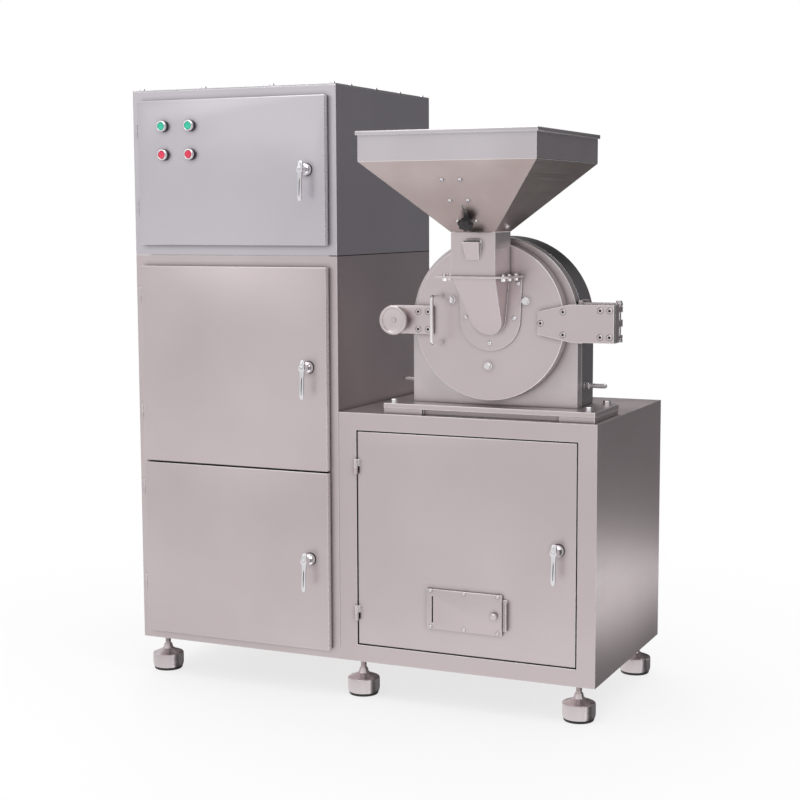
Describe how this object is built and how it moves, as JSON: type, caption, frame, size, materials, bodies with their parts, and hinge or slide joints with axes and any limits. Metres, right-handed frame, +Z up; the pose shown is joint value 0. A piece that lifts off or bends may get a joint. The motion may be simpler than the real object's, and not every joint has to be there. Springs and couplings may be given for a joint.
{
  "type": "dust collecting hammer mill",
  "caption": "Stainless pulverising mill set: hopper-fed hammer mill on a low cabinet beside a tall filter and control cabinet, all on levelling feet.",
  "frame": {"origin": "centre of the footprint rectangle, on the floor under the levelling feet", "axes": "+Z up, +X to the machine's right as seen from the front, +Y to the back, so the doors face -Y"},
  "size_m": [1.384, 0.8744, 1.6605],
  "materials": {
    "brushed_steel": "brushed, light grain",
    "chrome": "polished",
    "black_plastic": "satin",
    "rubber": "matt",
    "green_button": "gloss",
    "red_button": "gloss",
    "machined_steel": "turned, darker",
    "motor_paint": "satin blue-grey enamel",
    "filter_media": "matt felt"
  },
  "bodies": {
    "machine": {"base_cabinet": "brushed_steel", "bearing_housing": "brushed_steel", "belt_guard": "brushed_steel", "cabinet_lid": "brushed_steel", "collector_cabinet": "brushed_steel", "drive_belt": "rubber", "dust_bin": "brushed_steel", "electrical_cabinet": "brushed_steel", "fan_housing": "brushed_steel", "fan_motor": "motor_paint", "filter_cartridge": "filter_media", "foot_base_back": "brushed_steel", "foot_base_front": "brushed_steel", "foot_middle_back": "brushed_steel", "foot_middle_front": "brushed_steel", "foot_tall_back": "brushed_steel", "foot_tall_front": "brushed_steel", "hinge_bracket": "brushed_steel", "hinge_pin": "brushed_steel", "mill_base_plate": "brushed_steel", "mill_casing": "brushed_steel", "motor": "motor_paint", "outlet_spout": "brushed_steel", "receiving_bin": "brushed_steel", "screen": "brushed_steel", "stator_ring": "machined_steel"},
    "rotor_body": {"rotor": "machined_steel", "mill_pulley": "machined_steel", "hammer_1": "machined_steel", "hammer_2": "machined_steel", "hammer_3": "machined_steel", "hammer_4": "machined_steel"},
    "motor_shaft_body": {"motor_pulley": "machined_steel"},
    "fan_wheel_body": {"fan_impeller": "machined_steel"},
    "upper_door_body": {"upper_door": "brushed_steel"},
    "middle_door_body": {"middle_door": "brushed_steel"},
    "lower_door_body": {"lower_door": "brushed_steel"},
    "base_door_body": {"base_door": "brushed_steel", "shutter_frame": "brushed_steel"},
    "upper_handle_body": {"upper_handle": "chrome"},
    "middle_handle_body": {"middle_handle": "chrome"},
    "lower_handle_body": {"lower_handle": "chrome"},
    "base_handle_body": {"base_handle": "chrome"},
    "shutter_slide_body": {"shutter_slide": "brushed_steel"},
    "shutter_knob_body": {"shutter_knob": "brushed_steel"},
    "mill_door_body": {"mill_door": "brushed_steel", "inlet_chute": "brushed_steel", "inlet_neck": "brushed_steel", "hopper": "brushed_steel", "door_pull": "brushed_steel", "hinge_arm": "brushed_steel", "hinge_block": "brushed_steel", "clamp_plate": "brushed_steel"},
    "feed_gate_body": {"feed_gate": "brushed_steel"},
    "gate_knob_body": {"gate_knob": "black_plastic"},
    "hand_wheel_body": {"hand_wheel": "brushed_steel"},
    "start_button_left_body": {"start_button_left": "green_button"},
    "start_button_right_body": {"start_button_right": "green_button"},
    "stop_button_left_body": {"stop_button_left": "red_button"},
    "stop_button_right_body": {"stop_button_right": "red_button"}
  },
  "joints": [
    {"name": "upper_door_swing", "type": "hinge", "parent": "machine", "child": "upper_door_body", "pos_m": [-0.672, -0.19575, 1.425], "axis": [0, 0, -1], "range_deg": [0, 110]},
    {"name": "middle_door_swing", "type": "hinge", "parent": "machine", "child": "middle_door_body", "pos_m": [-0.672, -0.19575, 0.895], "axis": [0, 0, -1], "range_deg": [0, 110]},
    {"name": "lower_door_swing", "type": "hinge", "parent": "machine", "child": "lower_door_body", "pos_m": [-0.672, -0.19575, 0.373], "axis": [0, 0, -1], "range_deg": [0, 110]},
    {"name": "base_door_swing", "type": "hinge", "parent": "machine", "child": "base_door_body", "pos_m": [-0.008, -0.19155, 0.443], "axis": [0, 0, -1], "range_deg": [0, 105]},
    {"name": "mill_door_swing", "type": "hinge", "parent": "machine", "child": "mill_door_body", "pos_m": [0.6825, -0.07675, 1.033], "axis": [0, 0, 1], "range_deg": [0, 110]},
    {"name": "upper_handle_turn", "type": "hinge", "parent": "upper_door_body", "child": "upper_handle_body", "pos_m": [-0.139, -0.20675, 1.428], "axis": [0, -1, 0], "range_deg": [0, 90]},
    {"name": "middle_handle_turn", "type": "hinge", "parent": "middle_door_body", "child": "middle_handle_body", "pos_m": [-0.139, -0.20675, 0.902], "axis": [0, -1, 0], "range_deg": [0, 90]},
    {"name": "lower_handle_turn", "type": "hinge", "parent": "lower_door_body", "child": "lower_handle_body", "pos_m": [-0.139, -0.20675, 0.379], "axis": [0, -1, 0], "range_deg": [0, 90]},
    {"name": "base_handle_turn", "type": "hinge", "parent": "base_door_body", "child": "base_handle_body", "pos_m": [0.5615, -0.18475, 0.455], "axis": [0, -1, 0], "range_deg": [0, 90]},
    {"name": "shutter_knob_spin", "type": "hinge", "parent": "base_door_body", "child": "shutter_knob_body", "pos_m": [0.392, -0.19275, 0.2695], "axis": [0, -1, 0], "continuous": true},
    {"name": "gate_knob_spin", "type": "hinge", "parent": "feed_gate_body", "child": "gate_knob_body", "pos_m": [0.352, -0.28541, 1.298], "axis": [0, -0.6901, -0.7237], "continuous": true},
    {"name": "hand_wheel_spin", "type": "hinge", "parent": "mill_door_body", "child": "hand_wheel_body", "pos_m": [0.099, -0.15205, 1.033], "axis": [0, -1, 0], "continuous": true},
    {"name": "rotor_spin", "type": "hinge", "parent": "machine", "child": "rotor_body", "pos_m": [0.352, -0.04475, 1.033], "axis": [0, 1, 0], "continuous": true},
    {"name": "motor_spin", "type": "hinge", "parent": "machine", "child": "motor_shaft_body", "pos_m": [0.352, 0.32125, 0.253], "axis": [0, 1, 0], "continuous": true},
    {"name": "fan_spin", "type": "hinge", "parent": "machine", "child": "fan_wheel_body", "pos_m": [-0.377, 0.31525, 1.423], "axis": [0, 1, 0], "continuous": true},
    {"name": "start_button_left_press", "type": "slide", "parent": "upper_door_body", "child": "start_button_left_body", "axis": [0, 1, 0], "range_m": [0, 0.003], "stiffness_N_per_m": 800},
    {"name": "start_button_right_press", "type": "slide", "parent": "upper_door_body", "child": "start_button_right_body", "axis": [0, 1, 0], "range_m": [0, 0.003], "stiffness_N_per_m": 800},
    {"name": "stop_button_left_press", "type": "slide", "parent": "upper_door_body", "child": "stop_button_left_body", "axis": [0, 1, 0], "range_m": [0, 0.003], "stiffness_N_per_m": 800},
    {"name": "stop_button_right_press", "type": "slide", "parent": "upper_door_body", "child": "stop_button_right_body", "axis": [0, 1, 0], "range_m": [0, 0.003], "stiffness_N_per_m": 800},
    {"name": "shutter_slide_move", "type": "slide", "parent": "base_door_body", "child": "shutter_slide_body", "axis": [1, 0, 0], "range_m": [0, 0.12]},
    {"name": "feed_gate_slide", "type": "slide", "parent": "mill_door_body", "child": "feed_gate_body", "axis": [0, -0.7237, 0.6901], "range_m": [0, 0.043]}
  ],
  "couplings": [
    {"joint": "motor_spin", "follows": "rotor_spin", "ratio": 0.75}
  ]
}
